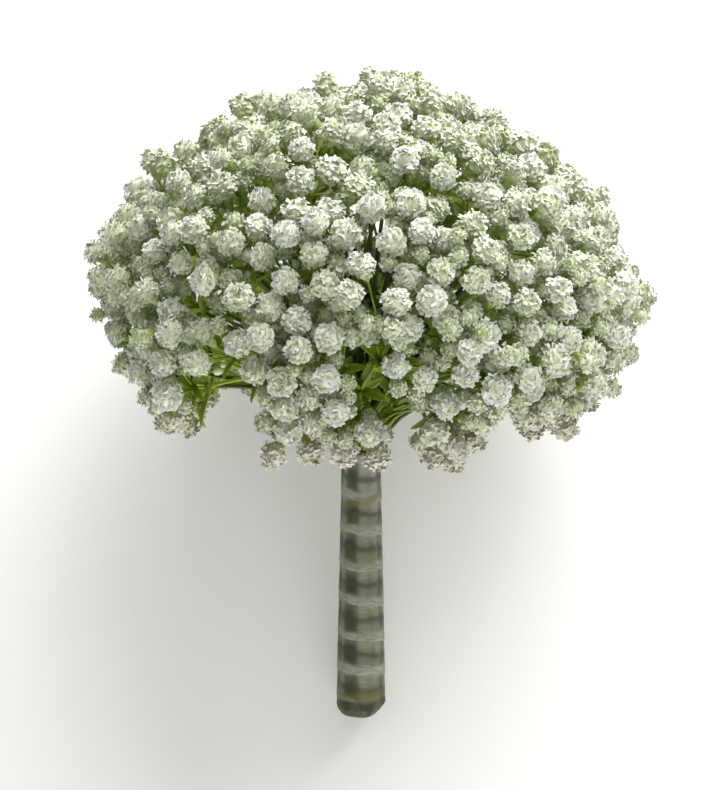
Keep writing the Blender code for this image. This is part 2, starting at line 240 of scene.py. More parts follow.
def facing(place, way):
    """Takes the origin to a place, and +Z to the way that something faces there."""
    return Matrix.Translation(place) @ way.to_track_quat("Z", "Y").to_matrix().to_4x4()


def make_mesh(name, bm):
    mesh = bpy.data.meshes.new(name)
    bm.to_mesh(mesh)
    bm.free()
    return mesh


def add_object(name, data):
    obj = bpy.data.objects.new(name, data)
    bpy.context.scene.collection.objects.link(obj)
    return obj


def finish_piece(name, bm, lay, material):
    """Lays a piece on the floor, which flattens what would sink into it, and makes it an object."""
    bm.transform(lay)
    for vert in bm.verts:
        vert.co.z = max(vert.co.z, 0)
    mesh = make_mesh(name, bm)
    mesh.materials.append(material)
    mesh.shade_smooth()
    return add_object(name, mesh)


def wrap_radius(height):
    """The handle's radius over its laps, which is least at the neck, where the bunch is bound."""
    return WRAP_RADIUS_END + (WRAP_RADIUS_TOP - WRAP_RADIUS_END) * height / WRAP_TOP


def lay_matrix():
    """Takes the upright bunch to where it lies, with the edge of the handle's end on the floor."""
    foot_rise = wrap_radius(0) * math.cos(math.radians(LIE_TILT)) - FOOT_PRESS
    turn = Matrix.Rotation(math.radians(LIE_TILT - 90), 4, "X")
    return Matrix.Translation(ORIGIN_SHIFT + Vector((0, 0, foot_rise))) @ turn


# Layout of the blooms


def polar(tilt, turn):
    """A unit vector leaning tilt degrees from +Z, at turn degrees round it from +X."""
    return Matrix.Rotation(math.radians(turn), 3, "Z") @ Matrix.Rotation(math.radians(tilt), 3, "Y").col[2]


def unit(rows):
    """Each row brought to length 1."""
    return rows / np.linalg.norm(rows, axis=1)[:, None]


def distances(points, others):
    """How far each point is from each of the others."""
    return np.linalg.norm(points[:, None] - others[None], axis=2)


def rays_to(points):
    """Unit vectors from the point that the sprays fan out from."""
    return unit(points - np.array((0, 0, FAN_HEIGHT)))


def in_a_gap(points):
    """Marks the places that fall in one of the gaps at the front of the head."""
    found = np.zeros(len(points), bool)
    for across, height, half_width, half_height in FRONT_GAPS:
        off = ((points[:, 0] - across) / half_width) ** 2 + ((points[:, 2] - height) / half_height) ** 2
        found |= (off < 1) & (points[:, 1] < 0)
    return found


def head_candidates(rng):
    """Places spread evenly at random over the upright head's surface, from three times as many drawn."""
    sphere = unit(rng.normal(size=(CANDIDATES * 3, 3)))
    flat = HEAD_HALF_HEIGHT / HEAD_RADIUS
    stretch = np.sqrt(flat**2 * (sphere[:, 0] ** 2 + sphere[:, 1] ** 2) + sphere[:, 2] ** 2)
    sphere = sphere[rng.random(len(sphere)) < stretch]
    points = sphere * (HEAD_RADIUS, HEAD_RADIUS, HEAD_HALF_HEIGHT) + HEAD_CENTRE
    points = points[(points[:, 2] > RIM_HEIGHT) & ~in_a_gap(points)]
    return points[:CANDIDATES]


def farthest_points(points, count):
    """Picks places one by one, each as far as it can be from those picked before."""
    picked = [int(np.argmax(points[:, 2]))]
    nearest = np.linalg.norm(points - points[picked[0]], axis=1)
    while len(picked) < count:
        picked.append(int(np.argmax(nearest)))
        nearest = np.minimum(nearest, np.linalg.norm(points - points[picked[-1]], axis=1))
    return points[picked]


def press_on_floor(points, lay):
    """Lifts the blooms that would sink into the floor to where it presses them."""
    lay = np.array(lay)
    lying = points @ lay[:3, :3].T + lay[:3, 3]
    lying[:, 2] = np.maximum(lying[:, 2], PRESSED_SHARE * BLOOM_RADIUS)
    return (lying - lay[:3, 3]) @ lay[:3, :3]


def spread_apart(points, lay):
    """Moves blooms that would touch away from each other."""
    least = 2 * BLOOM_RADIUS + BLOOM_CLEARANCE
    for _ in range(SPREAD_ROUNDS):
        points = press_on_floor(points, lay)
        apart = points[:, None] - points[None]
        distance = np.linalg.norm(apart, axis=2) + np.eye(len(points))
        short = np.clip(least - distance, 0, None) * (1 - np.eye(len(points)))
        if short.max() < SPREAD_ENOUGH:
            break
        points = points + (apart / distance[:, :, None] * short[:, :, None]).sum(axis=1) * 0.5
    return points


def gather(points):
    """Draws blooms towards the nearest of the first few, because they grow in clusters."""
    middles = points[:CLUSTERS]
    nearest = np.argmin(distances(points, middles), axis=1)
    return points + (middles[nearest] - points) * CLUSTER_PULL


def bloom_sites(lay):
    """The bloom centres of the upright bunch."""
    rng = np.random.default_rng(SITE_SEED)
    points = gather(farthest_points(head_candidates(rng), BLOOM_COUNT))
    outward = rays_to(points)
    offset = rng.uniform(-UNEVENNESS, UNEVENNESS, len(points))
    for tilt, turn, height in LOBES:
        angle = np.degrees(np.arccos(np.clip(outward @ np.array(polar(tilt, turn)), -1, 1)))
        offset += height * np.exp(-((angle / LOBE_WIDTH) ** 2))
    return spread_apart(points + outward * offset[:, None], lay)


# Layout of the branching


def spray_places():
    """(direction from the fan's centre, ring, place in the ring) of each spray."""
    return [
        (polar(tilt, 360 * place / count), ring, place)
        for ring, (count, tilt) in enumerate(zip(RING_COUNTS, RING_TILTS))
        for place in range(count)
    ]


def share_out(points, directions):
    """Gives each bloom to the spray whose direction is nearest to its own."""
    owner = np.argmax(rays_to(points) @ np.array(directions).T, axis=1)
    return [[Vector(p) for p in points[owner == i]] for i in range(len(directions))]


def mean(points):
    return sum(points, Vector()) / len(points)


def bearing(vector, forward):
    """The angle of a vector round the forward direction."""
    across = forward.orthogonal().normalized()
    return math.atan2(vector.dot(forward.cross(across)), vector.dot(across))


def split_in_three(points, fork, forward):
    """Cuts blooms into at most three groups of neighbours, as seen along forward from the fork."""
    ordered = sorted(points, key=lambda p: bearing(p - fork, forward))
    count = len(ordered)
    if count <= 3:
        return [[p] for p in ordered]
    choices = []
    for start, extra in itertools.product(range(count), range(3)):
        turned = ordered[start:] + ordered[:start]
        sizes = [count // 3 + ((k + extra) % 3 < count % 3) for k in range(3)]
        cuts = (0, sizes[0], sizes[0] + sizes[1], count)
        choices.append([turned[a:b] for a, b in itertools.pairwise(cuts)])
    return min(choices, key=lambda groups: sum((p - mean(g)).length_squared for g in groups for p in g))


def branch(start, points, level):
    """What grows from start to the given blooms: a bloom, or a fork with its branches."""
    if len(points) == 1:
        return {"at": points[0], "branches": [], "size": BLOOM_RADIUS}
    centre = mean(points)
    fork = start.lerp(centre, FORK_SHARES[min(level, 1)])
    groups = split_in_three(points, fork, (centre - start).normalized())
    return {"at": fork, "branches": [branch(fork, group, level + 1) for group in groups]}


def spray_tree(direction, points):
    """The first fork of a spray, with its branches."""
    hub = Vector((0, 0, FAN_HEIGHT)) + direction * HUB_REACH
    groups = split_in_three(points, hub, direction)
    return {"at": hub, "branches": [branch(hub, group, 0) for group in groups]}


def stem_radius(height):
    return STEM_RADIUS_END + (STEM_RADIUS_NECK - STEM_RADIUS_END) * height / NECK_HEIGHT


def stem_place(ring, place, height):
    """Where a stem is in the bundle, which is packed in hexagons inside the bands."""
    bundle_radius = wrap_radius(min(height, WRAP_TOP)) - BUNDLE_CLEARANCE
    spacing = (bundle_radius - BUNDLE_STEM_RADIUS) / 2
    steps = math.sqrt(3) if ring == 2 and place % 2 else ring
    return polar(90, 360 * place / RING_COUNTS[ring]) * steps * spacing + Vector((0, 0, height))


def forks_of(node):
    """Every fork at or above a node."""
    if not node["branches"]:
        return []
    return [node] + [fork for grown in node["branches"] for fork in forks_of(grown)]


def side_places(fork, rng):
    """Places that small blooms might take round a fork, and the way that its branches go."""
    middle = mean([b["at"] for b in fork["branches"]]) - fork["at"]
    reach, middle = middle.length, middle.normalized()
    tries = unit(rng.normal(size=(SIDE_TRIES, 3))) * SIDE_CONE + np.array(middle)
    tries = unit(tries) * (rng.uniform(*SIDE_REACHES, (SIDE_TRIES, 1)) * reach)
    return tries + np.array(fork["at"]), middle


def add_side_blooms(trees, centres, rng):
    """Gives the outer forks small blooms that fill the hollows between the large ones."""
    small = np.zeros((0, 3))
    for fork in [fork for tree in trees for fork in forks_of(tree)[1:]]:
        if all(b["branches"] for b in fork["branches"]):
            continue
        tries, middle = side_places(fork, rng)
        for _ in range(SIDE_BLOOMS_AT_A_FORK):
            room = distances(tries, centres).min(axis=1) - BLOOM_RADIUS
            if len(small):
                room = np.minimum(room, distances(tries, small).min(axis=1) - SIDE_BLOOM_RADII[0])
            fits = room > SIDE_ROOM
            if not fits.any():
                break
            outward = (tries - (0, 0, FAN_HEIGHT)) @ np.array(middle)
            best = int(np.argmax(np.where(fits, outward, -1)))
            size = float(np.clip(room[best] * SIDE_SWELL, *SIDE_BLOOM_RADII))
            small = np.vstack([small, tries[best]])
            fork["branches"].append({"at": Vector(tries[best]), "branches": [], "size": size})


# Stems, calyxes and leaves


def merge(bm, part):
    """Puts a small piece, made by itself because that is quicker, into the mesh that it belongs to."""
    mesh = make_mesh("part", part)
    bm.from_mesh(mesh)
    bpy.data.meshes.remove(mesh)


def new_green():
    """An empty mesh with the marks that the green parts' finish reads."""
    bm = bmesh.new()
    for layer in ("calyx", "inner"):
        bm.verts.layers.float.new(layer)
    return bm


def start_stem(line, radii, sides):
    """The first length of a round stem, closed at both ends, and its far end."""
    bm = new_green()
    way = line[1] - line[0]
    made = bmesh.ops.create_cone(
        bm,
        cap_ends=True,
        segments=sides,
        radius1=radii[0],
        radius2=radii[1],
        depth=way.length,
        matrix=facing((line[0] + line[1]) / 2, way),
    )
    caps = {f for v in made["verts"] for f in v.link_faces if len(f.verts) == sides}
    return bm, max(caps, key=lambda f: f.calc_center_median().dot(way))


def lengthen(bm, face, centre, way, radius):
    """Draws a stem's round end out to a new place, turned and swelled to suit."""
    middle = face.calc_center_median()
    face.normal_update()
    turn = face.normal.rotation_difference(way)
    grown = bmesh.ops.extrude_discrete_faces(bm, faces=[face])["faces"][0]
    for vert in grown.verts:
        arm = turn @ (vert.co - middle)
        vert.co = centre + arm * (radius / arm.length)
    return grown


def make_stem(line, radii, sides):
    """A round stem through the points of a line, and its far end."""
    bm, face = start_stem(line, radii, sides)
    for k in range(2, len(line)):
        after = line[min(k + 1, len(line) - 1)]
        face = lengthen(bm, face, line[k], (after - line[k - 1]).normalized(), radii[k])
    return bm, face


def bend(start, control, end, steps):
    """Points on a smooth bend from start to end."""
    return [
        start.lerp(control, t / steps).lerp(control.lerp(end, t / steps), t / steps)
        for t in range(steps + 1)
    ]


def place_shape(bm, shape, matrix, **values):
    """Puts a copy of a ready shape in place, with these values on all its points."""
    copy = shape.copy()
    copy.transform(matrix)
    for name, value in values.items():
        copy.attributes[name].data.foreach_set("value", [value] * len(copy.vertices))
    bm.from_mesh(copy)
    bpy.data.meshes.remove(copy)


def make_knuckle_shape():
    bm = new_green()
    bmesh.ops.create_icosphere(bm, subdivisions=1, radius=1)
    return make_mesh("knuckle", bm)


def make_leaf_shape(name, sides, steps):
    """A closed lance-shaped leaf of length 1 along +Z, folded at its midrib, with its tip bent back."""
    bm = new_green()
    made = bmesh.ops.create_uvsphere(bm, u_segments=sides, v_segments=steps, radius=1)["verts"]
    for vert in made:
        side, thick, rise = vert.co
        share = (rise + 1) / 2
        narrow = 1 - LEAF_TAPER * share
        fold = LEAF_FOLD * abs(side) * LEAF_WIDTH / 2 - LEAF_BACKBEND * share**2
        vert.co = Vector((side * narrow * LEAF_WIDTH / 2, thick * LEAF_THICKNESS + fold, share))
    return make_mesh(name, bm)


def add_leaf(bm, shape, seat, along, upward, length, **values):
    """A leaf that grows from its seat, with its face turned upward."""
    across = along.cross(upward).normalized()
    turn = Matrix((across, across.cross(along), along)).transposed().to_4x4()
    place_shape(bm, shape, Matrix.Translation(seat) @ turn @ Matrix.Scale(length, 4), **values)


def add_calyx(bm, face, centre, forward, size):
    """Widens a stalk's end into the calyx that holds a bloom, with pointed teeth."""
    marks = bm.verts.layers.float["calyx"]
    seat = centre - forward * size * CALYX_SEAT
    for back, radius in CALYX_RINGS:
        face = lengthen(bm, face, seat - forward * size * back, forward, size * radius)
        for vert in face.verts:
            vert[marks] = 1
    for vert in list(face.verts)[::2]:
        vert.co += forward * size * CALYX_TOOTH + (vert.co - seat).normalized() * size * CALYX_FLARE


def grow(bm, start, way, node, level, rng, shapes):
    """Grows a branch to its bloom, or to its next fork and all that it carries."""
    reach = node["at"] - start
    stray = Vector([rng.uniform(-1, 1) for _ in range(3)]) * STRAY
    heading = (way * WAY_KEPT + reach.normalized() * (1 - WAY_KEPT)).normalized()
    control = start + heading * reach.length * 0.5 + stray
    forward = (node["at"] - control).normalized()
    if not node["branches"]:
        size = node["size"]
        end = node["at"] - forward * size * (CALYX_SEAT + CALYX_LENGTH + CALYX_CLEARANCE)
        thick = PEDICEL_RADIUS * (1 if size > SIDE_BLOOM_RADII[1] else SIDE_PEDICEL_SHARE)
        line = bend(start, control.lerp(start, PEDICEL_BEND), end, len(PEDICEL_TAPER) - 1)
        part, face = make_stem(line, [thick * k for k in PEDICEL_TAPER], STALK_SIDES)
        add_calyx(part, face, node["at"], forward, size)
        merge(bm, part)
        node["way"] = forward
        return
    radius = LIMB_RADIUS if level == 0 else TWIG_RADIUS
    line = bend(start, control, node["at"], len(BRANCH_TAPER) - 1)
    merge(bm, make_stem(line, [radius * k for k in BRANCH_TAPER], STALK_SIDES)[0])
    add_fork(bm, node, forward, radius, level + 1, rng, shapes)


def around(way, angle):
    """A unit vector square to a way, at an angle round it."""
    across = way.orthogonal().normalized()
    return across * math.cos(angle) + way.cross(across) * math.sin(angle)


def add_fork(bm, fork, way, radius, level, rng, shapes):
    """A swollen fork with its branches, its leaves or bracts, and buds on short stalks."""
    place_shape(bm, shapes["knuckle"], Matrix.Translation(fork["at"]) @ Matrix.Scale(radius * KNUCKLE, 4))
    for grown in fork["branches"]:
        grow(bm, fork["at"], way, grown, level, rng, shapes)
    start = rng.uniform(0, math.tau)
    shape, length, count = LEAVES_BY_LEVEL[min(level, len(LEAVES_BY_LEVEL) - 1)]
    for k in range(count):
        out = around(way, start + k * math.tau / count)
        along = (way * FORK_LEAF_RISE + out).normalized()
        seat = fork["at"] + out * radius * FORK_LEAF_SEAT
        add_leaf(bm, shapes[shape], seat, along, way - out, length * rng.uniform(*FORK_LEAF_LENGTHS))
    fork["buds"] = []
    for _ in range(BUDS_AT_A_FORK if level >= BUDS_FROM_LEVEL else 0):
        out = around(way, rng.uniform(0, math.tau))
        size = rng.uniform(*BUD_RADII)
        lean = (way + out * rng.uniform(*BUD_LEANS)).normalized()
        tip = fork["at"] + lean * rng.uniform(*BUD_STALK_MM) * MM
        line = bend(fork["at"], fork["at"].lerp(tip, 0.5) + way * BUD_STALK_BOW, tip, 2)
        merge(bm, make_stem(line, [BUD_STALK_RADIUS] * len(line), BUD_STALK_SIDES)[0])
        fork["buds"].append((tip, (tip - line[1]).normalized(), size))


def depth_shade(point):
    """Painted shade in the green at a point, from 0 near the blooms to 1 deep inside the head."""
    x, y, z = point - Vector(HEAD_CENTRE)
    half_height = HEAD_HALF_HEIGHT if z > 0 else HEAD_HALF_HEIGHT * LOW_STRETCH
    share = Vector((x / HEAD_RADIUS, y / HEAD_RADIUS, z / half_height)).length
    deep = (SHADE_SHARES[0] - share) / (SHADE_SHARES[0] - SHADE_SHARES[1])
    back = (y - SHADE_FRONT) / (SHADE_BACK - SHADE_FRONT)
    return clamp(deep) * (FRONT_SHADE + (1 - FRONT_SHADE) * clamp(back))


def add_companions(bm, tree, neck, rng, leaf):
    """Thinner stems with leaves, beside a spray's own, from inside the ribbon to its first branches."""
    for limb in tree["branches"]:
        if not limb["branches"]:
            continue
        for _ in range(COMPANIONS_AT_A_LIMB):
            aside = polar(90, rng.uniform(0, 360)) * COMPANION_ASIDE_MM * MM
            foot = Vector((*(neck.xy * COMPANION_SPREAD), COMPANION_FOOT)) + aside
            rise = rng.uniform(*COMPANION_RISE) * (limb["at"] - foot).length
            bow = polar(90, rng.uniform(0, 360)) * rng.uniform(*COMPANION_BOW_MM) * MM
            line = bend(foot, foot + Vector((0, 0, rise)) + bow, limb["at"], COMPANION_STEPS)
            part = make_stem(line, [COMPANION_RADIUS] * len(line), STALK_SIDES)[0]
            inner = part.verts.layers.float["inner"]
            # Each companion stem is painted with shade
            shade = rng.choice(COMPANION_SHADES)
            for vert in part.verts:
                vert[inner] = shade
            merge(bm, part)
            seat, after = line[COMPANION_LEAF_STEP : COMPANION_LEAF_STEP + 2]
            onward = (after - seat).normalized()
            out = Matrix.Rotation(rng.uniform(0, math.tau), 3, onward) @ onward.orthogonal().normalized()
            for side in (out, -out):
                along = (onward * COMPANION_LEAF_RISE + side).normalized()
                length = COMPANION_LEAF_LENGTH * rng.uniform(*COMPANION_LEAF_LENGTHS)
                add_leaf(bm, leaf, seat, along, onward - side, length, inner=COMPANION_LEAF_SHADE)


def add_first_leaves(bm, tree, forward, direction, leaf):
    """The pair of leaves below a spray's first fork, on the side of its stem that faces upwards."""
    seat = tree["at"] - forward * LEAF_DROP
    up = Vector((0, 0, 1)) if direction.z < UPRIGHT else Vector((0, -1, 0))
    up = (up - forward * up.dot(forward)).normalized()
    tilt = math.radians(LEAF_TILT)
    for side in (-1, 1):
        out = Matrix.Rotation(math.radians(LEAF_TURN * side), 3, forward) @ up
        along = forward * math.cos(tilt) + out * math.sin(tilt)
        add_leaf(bm, leaf, seat + out * STEM_RADIUS_NECK * 0.5, along, forward - out, LEAF_LENGTH)


def close_hollow(bm, tree, hollow, leaf):
    """A leaf that reaches from the nearest fork across a hollow of the head."""
    fork = min(forks_of(tree), key=lambda f: (f["at"] - hollow).length)
    reach = hollow - fork["at"]
    length = reach.length * HOLLOW_LEAF_REACH
    add_leaf(bm, leaf, fork["at"], reach.normalized(), Vector(HOLLOW_LEAF_FACE), length)


def make_stems(index, tree, direction, ring, place, shapes, lay, material):
    """A spray's green parts: its stem from the handle's end, leaves, branches, bracts and calyxes."""
    rng = random.Random(index)
    bm = new_green()
    foot = stem_place(ring, place, FOOT_HEIGHT)
    neck = stem_place(ring, place, NECK_HEIGHT)
    control = neck + Vector((0, 0, NECK_BEND * (tree["at"] - neck).length))
    line = [foot, foot.lerp(neck, 0.5), *bend(neck, control, tree["at"], NECK_STEPS)]
    radii = [stem_radius(min(p.z, NECK_HEIGHT)) for p in line]
    merge(bm, make_stem(line, radii, STEM_SIDES)[0])
    forward = (line[-1] - line[-2]).normalized()
    add_fork(bm, tree, forward, LIMB_RADIUS * FIRST_KNUCKLE, 0, rng, shapes)
    add_companions(bm, tree, neck, rng, shapes["leaf"])
    add_first_leaves(bm, tree, forward, direction, shapes["leaf"])
    for spray, hollow in HOLLOWS:
        if spray == index:
            close_hollow(bm, tree, Vector(hollow), shapes["leaf"])
    # The green is painted darker deep inside the head, as shade
    inner = bm.verts.layers.float["inner"]
    for vert in bm.verts:
        vert[inner] = max(vert[inner], depth_shade(vert.co))
    return finish_piece(f"spray_{index + 1:02d}_stems", bm, lay, material)


# Blooms

# (petals, tilt from the bloom's axis) of each whorl
PETAL_WHORLS = ((5, 9), (9, 26), (13, 43), (15, 60), (16, 77), (14, 94), (10, 113))
SIDE_WHORLS = ((5, 13), (9, 38), (11, 64), (9, 90), (6, 113))
BLOOM_SHAPES = 8
SIDE_SHAPES = 4
SIDE_SEED = 50
BLOOM_SEED = 1000
BLOOM_SIZES = (0.86, 1.04)

# The core, and how a bloom of radius 1 is lumpy as a whole
CORE_RADIUS = 0.82
CORE_CRUMPLE = (0.9, 1.12)
# The core's greenish tones between the petals: partly its own green, partly painted shade
CORE_TONES = (0.15, 0.6)
PALE_EYE = 0.12
EYE_HEIGHT = 0.4
LUMP = 0.2
LUMP_DENSITY = 1.7
LUMP_SHIFT = 3.7
LUMP_MIDDLE = 0.1

# A petal of a bloom of radius 1. Up to INNER_TILT it turns any way, and from GREEN_TILT on it is greener
# and darker: partly the green near the calyx, partly painted shade on the bloom's underside
INNER_TILT = 32
GREEN_TILT = 55
UNDERSIDE_GREEN_AND_SHADE = 0.45
PETAL_ROOT = 0.58
PETAL_REACHES = (0.9, 1.07)
PETAL_BREADTHS = (0.75, 1.2)
PETAL_CURLS = (0.12, 0.3)
PETAL_LEAN = 0.5
PETAL_WIDTH = 0.18
PETAL_WIDENING = 0.21
PETAL_WAVE = (-0.1, 0.09)
PETAL_NOTCH = 0.1
TURN_STRAY = 0.3
TILT_STRAY = 9

# How old and how blushed the blooms look; the greener small side blooms and the blushed low ones are
# partly painted shade
LARGE_TINT = 0.8
TINT_FALL = 1.5
# The small side blooms sit deep in the head: their greener tone is partly painted shade
SIDE_TINTS = (0.3, 1)
BUD_TINTS = (0.5, 1)
# The low blooms' pinkish grey: partly blushed, partly painted shade on their undersides
BLUSH_AND_SHADE_HEIGHTS = (128 * MM, 160 * MM)
BLUSH_AND_SHADE_SHARES = (0.55, 1)

# A bud of radius 1
BUD_FACETS = (8, 6)
BUD_TONE = 0.36
BUD_FOLDS = 4
BUD_FOLD_DEPTH = 0.1
BUD_TWIST = 2
BUD_LENGTH = 1.35


def new_white():
    """An empty mesh with the marks that the petals' finish reads, and its petal map."""
    bm = bmesh.new()
    marks = bm.loops.layers.uv.new("petal")
    for layer in ("tint", "blush"):
        bm.verts.layers.float.new(layer)
    return bm, marks


def add_petal(bm, tilt, turn, rng, marks):
    """One ruffled petal of a bloom of radius 1, notched at its tip and bent outwards."""
    grid = bmesh.ops.create_grid(bm, x_segments=2, y_segments=2, size=0.5)["verts"]
    reach = rng.uniform(*PETAL_REACHES)
    broad = rng.uniform(*PETAL_BREADTHS)
    curl = rng.uniform(*PETAL_CURLS)
    most = PETAL_LEAN if tilt > INNER_TILT else math.pi
    lean = rng.uniform(-most, most)
    # Underside petals are mapped towards the greener, darker base: partly their own green, partly painted
    # shade
    pale = 1 - UNDERSIDE_GREEN_AND_SHADE * max(tilt - GREEN_TILT, 0) / GREEN_TILT
    for vert in grid:
        across, along = vert.co.x, vert.co.y + 0.5
        for loop in vert.link_loops:
            loop[marks].uv = (across + 0.5, along * pale)
        width = (PETAL_WIDTH + PETAL_WIDENING * along) * broad
        bow = along * math.pi / 2
        rise = PETAL_ROOT + (reach - PETAL_ROOT) * math.sin(bow)
        wave = rng.uniform(*PETAL_WAVE) * along
        notch = rng.uniform(-PETAL_NOTCH, PETAL_NOTCH) if along > 0.9 else 0
        vert.co = Vector((curl * (1 - math.cos(bow)) + notch, across * width, rise + wave))
    place = (
        Matrix.Rotation(math.radians(turn), 4, "Z")
        @ Matrix.Rotation(math.radians(tilt), 4, "Y")
        @ Matrix.Rotation(lean, 4, "Z")
    )
    bmesh.ops.transform(bm, matrix=place, verts=grid)


def make_bloom_shape(name, whorls, fine, seed):
    """A double bloom of radius 1 that faces +Z: whorls of petals round a smaller crumpled core."""
    rng = random.Random(seed)
    bm, marks = new_white()
    core = bmesh.ops.create_icosphere(bm, subdivisions=fine, radius=CORE_RADIUS)["verts"]
    for vert in core:
        vert.co *= rng.uniform(*CORE_CRUMPLE)
        for loop in vert.link_loops:
            # The core is toned greener between the petals, partly as painted shade
            loop[marks].uv = (0.5, rng.uniform(*CORE_TONES) + (PALE_EYE if vert.co.z > EYE_HEIGHT else 0))
    bmesh.ops.recalc_face_normals(bm, faces=bm.faces)
    for count, tilt in whorls:
        start = rng.uniform(0, 360)
        for k in range(count):
            turn = start + 360 * (k + rng.uniform(-TURN_STRAY, TURN_STRAY)) / count
            add_petal(bm, tilt + rng.uniform(-TILT_STRAY, TILT_STRAY), turn, rng, marks)
    for vert in bm.verts:
        lump = noise.noise(vert.co * LUMP_DENSITY + Vector((LUMP_SHIFT * seed, 0, 0)))
        vert.co *= 1 + LUMP * (lump - LUMP_MIDDLE)
    return make_mesh(name, bm)


def make_bud_shape():
    """A closed bud of radius 1, longer than it is wide, with shallow folds."""
    bm, marks = new_white()
    sides, steps = BUD_FACETS
    made = bmesh.ops.create_uvsphere(bm, u_segments=sides, v_segments=steps, radius=1)["verts"]
    for vert in made:
        rise = vert.co.z
        for loop in vert.link_loops:
            loop[marks].uv = (0.5, (rise + 1) * BUD_TONE)
        turn = math.atan2(vert.co.y, vert.co.x)
        vert.co.xy *= 1 - BUD_FOLD_DEPTH * math.cos(BUD_FOLDS * turn + BUD_TWIST * rise)
        vert.co.z = rise * BUD_LENGTH
    return make_mesh("bud", bm)


def add_bloom(bm, shape, centre, way, size, spin, tint, blush):
    matrix = facing(centre, way) @ Matrix.Rotation(spin, 4, "Z") @ Matrix.Scale(size, 4)
    place_shape(bm, shape, matrix, tint=tint, blush=blush)


def blooms_of(node):
    """Every bloom at or above a node."""
    if not node["branches"]:
        return [node]
    return [bloom for grown in node["branches"] for bloom in blooms_of(grown)]


def make_blooms(index, tree, shapes, side_shapes, bud_shape, lay, material):
    """A spray's blooms and buds."""
    rng = random.Random(BLOOM_SEED + index)
    bm = new_white()[0]
    for bloom in blooms_of(tree):
        large = bloom["size"] >= BLOOM_RADIUS
        shape = rng.choice(shapes if large else side_shapes)
        size = bloom["size"] * (rng.uniform(*BLOOM_SIZES) if large else 1)
        # A small side bloom's greener tone is partly painted shade, as it sits deep in the head
        tint = rng.random() ** TINT_FALL * LARGE_TINT if large else rng.uniform(*SIDE_TINTS)
        # Low blooms get a pinkish grey, partly blushed and partly painted shade
        low = (BLUSH_AND_SHADE_HEIGHTS[1] - bloom["at"].z) / (BLUSH_AND_SHADE_HEIGHTS[1] - BLUSH_AND_SHADE_HEIGHTS[0])
        blush = clamp(low) * rng.uniform(*BLUSH_AND_SHADE_SHARES)
        add_bloom(bm, shape, bloom["at"], bloom["way"], size, rng.uniform(0, math.tau), tint, blush)
    for fork in forks_of(tree):
        for tip, way, size in fork["buds"]:
            add_bloom(bm, bud_shape, tip, way, size, rng.uniform(0, math.tau), rng.uniform(*BUD_TINTS), 0)
    return finish_piece(f"spray_{index + 1:02d}_blooms", bm, lay, material)


# The handle's ribbon

RIBBON_SIDES = 72
RIBBON_WALL = 0.7 * MM
RIBBON_CHAMFER = 4.5 * MM
RIBBON_SLIP = 1.4 * MM
RIBBON_SLANT = 2.2 * MM
RIBBON_FIRM = 9 * MM
RIBBON_STEP = 0.26 * MM
RIBBON_FOLD = 0.16 * MM
RIBBON_FLAT = 0.25 * MM
RIBBON_FLATS = 6
RIBBON_MERGE = 0.005 * MM

# (spread round the handle, length along it) of the ribbon's folds and of how its laps have slipped
FOLD_SCALE = (2.2, 5 * MM)
SLIP_SCALE = (0.9, 14 * MM)

# A turn of ribbon from its lower edge to its upper: (inset as a share of the step, share of the pitch)
RIBBON_LAP = (
    (1, 0),
    (0.25, 0.012),
    (0, 0.04),
    (0.12, 0.18),
    (0.25, 0.36),
    (0.5, 0.55),
    (0.75, 0.75),
    (1, 1),
)

# The rings that draw the ribbon in under the cut ends: (inset, height)
END_RINGS = (
    (0.75 * MM, 2.9 * MM),
    (1.6 * MM, 1.5 * MM),
    (2.9 * MM, 0.5 * MM),
    (4.6 * MM, 0.0),
    (7.0 * MM, 0.05 * MM),
)
END_GAP_SHARE = 0.8

# Heights of the ribbon's inner wall, from its top down
WALL_HEIGHTS = (WRAP_TOP, WRAP_TOP - 8 * MM, 4 * MM)

# The corner that is cut off the handle's end: (side where it starts, rise, height where it ends)
CUT_CORNER = (2.5 * MM, 4.5 * MM, 14 * MM)

# Where the ribbon sinks between the stems under it: (turn from +X, half width, depth) of each
STEM_GAPS = (
    (-119, 21, 1),
    (-66, 6, 0.25),
    (-28, 10, 0.6),
    (14, 11, 0.8),
    (60, 10, 0.6),
    (104, 18, 1),
    (152, 9, 0.5),
    (194, 12, 0.7),
)
GAP_DEPTH = 0.6 * MM
GAP_STEEPNESS = 6
GAP_WANDER = 14
GAP_WANDER_LENGTH = 22 * MM


def gap_depth(turn, height=0.0):
    """How far the ribbon sinks between the stems under it, from 0 to 1."""
    found = 0
    for at, width, depth in STEM_GAPS:
        wander = GAP_WANDER * noise.noise(Vector((at, 0, height / GAP_WANDER_LENGTH)))
        off = (math.degrees(turn) - at - wander + 180) % 360 - 180
        found = max(found, depth * math.exp(-((off / width) ** GAP_STEEPNESS)))
    return found


def handle_noise(turn, height, spread, length):
    """Smooth noise over the handle, with no seam round it."""
    return noise.noise(Vector((math.cos(turn) * spread, math.sin(turn) * spread, height / length)))


